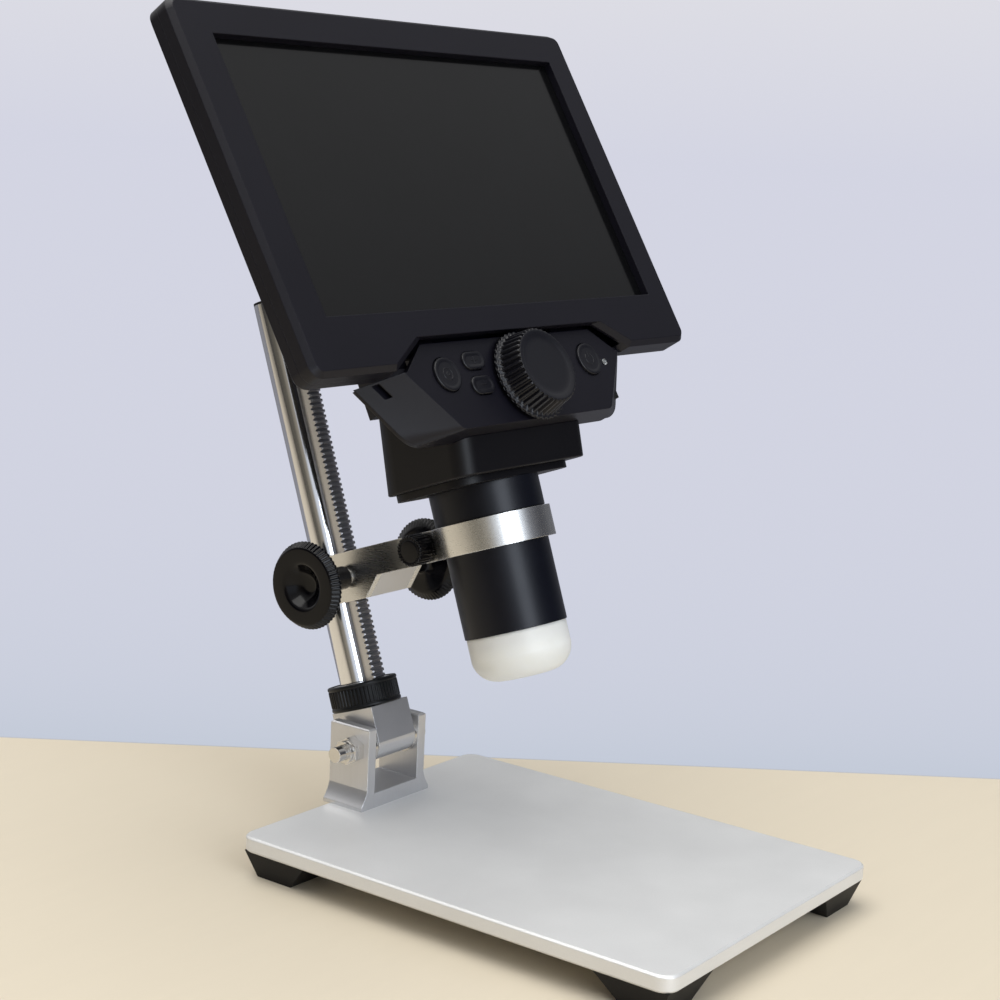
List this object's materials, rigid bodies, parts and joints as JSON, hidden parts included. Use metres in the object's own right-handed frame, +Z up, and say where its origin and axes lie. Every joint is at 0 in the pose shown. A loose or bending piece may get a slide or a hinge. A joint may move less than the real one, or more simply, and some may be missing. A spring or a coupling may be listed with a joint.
{
  "type": "digital microscope",
  "caption": "Desktop digital microscope: a wide screen with keys and a focus wheel over a lens barrel, on a racked, tilting post and a flat base plate.",
  "frame": {"origin": "on the table, under the middle of the whole object's footprint at rest", "axes": "+Z up, the user sits on the -Y side, +X is the user's right"},
  "size_m": [0.1814, 0.2129, 0.2686],
  "materials": {
    "plate_silver": "bead blasted, anodised",
    "foot_black": "matt",
    "bright_steel": "plated, bright",
    "post_chrome": "polished",
    "rack_steel": "milled",
    "arm_alloy": "satin",
    "collar_black": "anodised black, satin",
    "barrel_black": "anodised black, satin",
    "knob_black": "glossy",
    "head_plastic": "fine grained",
    "key_plastic": "smooth",
    "screen_dark": "glossy",
    "display": "smooth",
    "diffuser_white": "milky",
    "lens_glass": "polished",
    "lamp_clear": "clear resin",
    "board_green": "solder mask",
    "chip_black": "moulded",
    "battery_wrap": "film",
    "brass_part": "turned",
    "soft_pad": "matt"
  },
  "bodies": {
    "stand": {"base_plate": "plate_silver", "feet": "foot_black", "foot_screws": "bright_steel", "clevis_bracket": "bright_steel", "clevis_screws": "bright_steel", "pivot_bolt": "bright_steel", "pivot_nut": "bright_steel", "pivot_washers": "soft_pad"},
    "post": {"tilt_block": "arm_alloy", "post_tube": "post_chrome", "post_plug": "knob_black", "gear_rack": "rack_steel", "rack_screws": "bright_steel"},
    "locking_ring": {"locking_collar": "collar_black"},
    "carriage": {"arm_band": "arm_alloy", "guide_block": "arm_alloy", "arm_screws": "bright_steel", "brake_pad": "soft_pad", "brake_screw": "bright_steel", "clamp_nut": "bright_steel"},
    "lift_pinion": {"pinion_gear": "brass_part", "pinion_shaft": "bright_steel", "lift_knob_left": "knob_black", "lift_knob_right": "knob_black"},
    "clamp": {"clamp_screw": "knob_black"},
    "head": {"barrel_tube": "barrel_black", "barrel_sleeve": "barrel_black", "neck_housing": "head_plastic", "neck_plate": "collar_black", "sensor_board": "board_green", "image_sensor": "chip_black", "front_bezel": "head_plastic", "rear_cover": "head_plastic", "screen_glass": "screen_dark", "lcd_panel": "display", "main_board": "board_green", "battery": "battery_wrap", "control_panel": "head_plastic", "panel_back": "head_plastic", "charge_port": "bright_steel", "card_reader": "bright_steel", "switch_board": "board_green", "key_switches": "chip_black", "status_lamp": "lamp_clear", "lamp_board": "board_green", "lamps": "lamp_clear"},
    "diffuser": {"diffuser_cap": "diffuser_white"},
    "lens": {"lens_carrier": "barrel_black", "objective_lens": "lens_glass", "lens_ring": "brass_part", "focus_rack": "brass_part"},
    "focus_control": {"focus_wheel": "key_plastic", "focus_shaft": "bright_steel", "focus_pinion": "brass_part"},
    "button_capture": {"button_capture": "key_plastic"},
    "button_power": {"button_power": "key_plastic"},
    "button_zoom_in": {"button_zoom_in": "key_plastic"},
    "button_zoom_out": {"button_zoom_out": "key_plastic"}
  },
  "joints": [
    {"name": "post_tilt", "type": "hinge", "parent": "stand", "child": "post", "pos_m": [0, 0.04507, 0.0338], "axis": [1, 0, 0], "range_deg": [-12, 19.5]},
    {"name": "locking_collar_turn", "type": "hinge", "parent": "post", "child": "locking_ring", "pos_m": [0, 0.05383, 0.04775], "axis": [0, 0.3337, 0.9427], "range_deg": [-90, 90]},
    {"name": "carriage_slide", "type": "slide", "parent": "post", "child": "carriage", "axis": [0, 0.3337, 0.9427], "range_m": [-0.026, 0.08]},
    {"name": "pinion_spin", "type": "hinge", "parent": "carriage", "child": "lift_pinion", "pos_m": [0, 0.05342, 0.0899], "axis": [1, 0, 0], "range_deg": [-759, 248]},
    {"name": "clamp_screw_turn", "type": "hinge", "parent": "carriage", "child": "clamp", "pos_m": [0, 0.02165, 0.10459], "axis": [1, 0, 0], "range_deg": [0, 360]},
    {"name": "head_swivel", "type": "hinge", "parent": "carriage", "child": "head", "pos_m": [0, 0.00299, 0.1112], "axis": [0, 0.3337, 0.9427], "range_deg": [-80, 80]},
    {"name": "diffuser_pull", "type": "slide", "parent": "head", "child": "diffuser", "axis": [0, -0.3337, -0.9427], "range_m": [0, 0.014]},
    {"name": "focus_turn", "type": "hinge", "parent": "head", "child": "focus_control", "pos_m": [-0.00114, -0.00976, 0.16251], "axis": [-0.0382, -0.8518, 0.5224], "range_deg": [-80.2, 80.2]},
    {"name": "lens_focus", "type": "slide", "parent": "head", "child": "lens", "axis": [0, 0.3337, 0.9427], "range_m": [-0.00546, 0.00546]},
    {"name": "button_capture_press", "type": "slide", "parent": "head", "child": "button_capture", "axis": [0.0382, 0.8518, -0.5224], "range_m": [0, 0.0008], "stiffness_N_per_m": 300, "springref_m": -0.001},
    {"name": "button_power_press", "type": "slide", "parent": "head", "child": "button_power", "axis": [0.0382, 0.8518, -0.5224], "range_m": [0, 0.0008], "stiffness_N_per_m": 300, "springref_m": -0.001},
    {"name": "button_zoom_in_press", "type": "slide", "parent": "head", "child": "button_zoom_in", "axis": [0.0382, 0.8518, -0.5224], "range_m": [0, 0.0008], "stiffness_N_per_m": 300, "springref_m": -0.001},
    {"name": "button_zoom_out_press", "type": "slide", "parent": "head", "child": "button_zoom_out", "axis": [0.0382, 0.8518, -0.5224], "range_m": [0, 0.0008], "stiffness_N_per_m": 300, "springref_m": -0.001}
  ],
  "couplings": [
    {"joint": "pinion_spin", "follows": "carriage_slide", "rad_per_m": -165.3},
    {"joint": "focus_turn", "follows": "lens_focus", "rad_per_m": 255.63}
  ]
}
